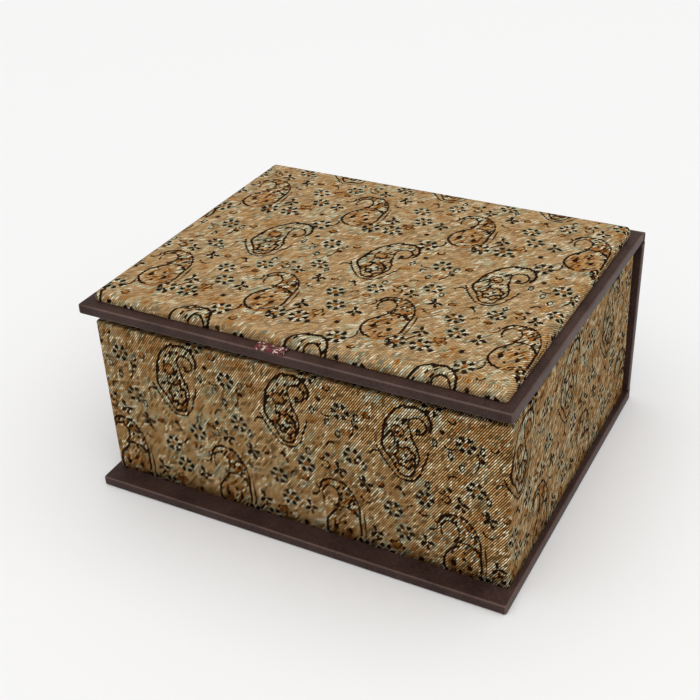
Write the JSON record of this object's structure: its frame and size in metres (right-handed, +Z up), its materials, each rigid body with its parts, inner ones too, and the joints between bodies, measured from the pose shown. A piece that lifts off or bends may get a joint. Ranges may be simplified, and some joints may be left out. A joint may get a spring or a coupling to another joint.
{
  "type": "keepsake box",
  "caption": "Book-case keepsake box: a lined tray in paisley brocade, a leatherette cover that folds at the spine, a padded lid and a ribbon pull tab.",
  "frame": {"origin": "middle of the base's underside", "axes": "+Z up, -Y towards the front edge with the pull tab, +X to the right seen from the front"},
  "size_m": [0.181, 0.1545, 0.0903],
  "materials": {
    "greyboard": "pressed greyboard, matt",
    "leatherette": "dark brown embossed leatherette, soft sheen",
    "brocade": "woven twill brocade with paisley figures",
    "satin": "plain salmon satin",
    "foam": "open-cell foam sheet",
    "ribbon": "woven floral ribbon, dark red with green and white"
  },
  "bodies": {
    "base": {"base_board": "greyboard", "base_cover": "leatherette", "tray_floor_board": "greyboard", "tray_front_wall": "greyboard", "tray_back_wall": "greyboard", "tray_left_wall": "greyboard", "tray_right_wall": "greyboard", "tray_brocade": "brocade", "tray_wall_lining": "satin", "tray_floor_pad": "satin"},
    "spine": {"spine_board": "greyboard", "spine_cover": "leatherette", "spine_lining": "leatherette", "lower_fold_strip": "leatherette", "upper_fold_strip": "leatherette"},
    "lid": {"lid_board": "greyboard", "lid_cover": "leatherette", "lid_lining_card": "greyboard", "lid_lining_satin": "satin", "pad_card": "greyboard", "pad_foam": "foam", "pad_brocade": "brocade", "pull_tab": "ribbon"}
  },
  "joints": [
    {"name": "spine_fold", "type": "hinge", "parent": "base", "child": "spine", "pos_m": [0, 0.075, 0], "axis": [-1, 0, 0], "range_deg": [0, 83]},
    {"name": "lid_fold", "type": "hinge", "parent": "spine", "child": "lid", "pos_m": [0, 0.0795, 0.0806], "axis": [-1, 0, 0], "range_deg": [0, 95]}
  ]
}
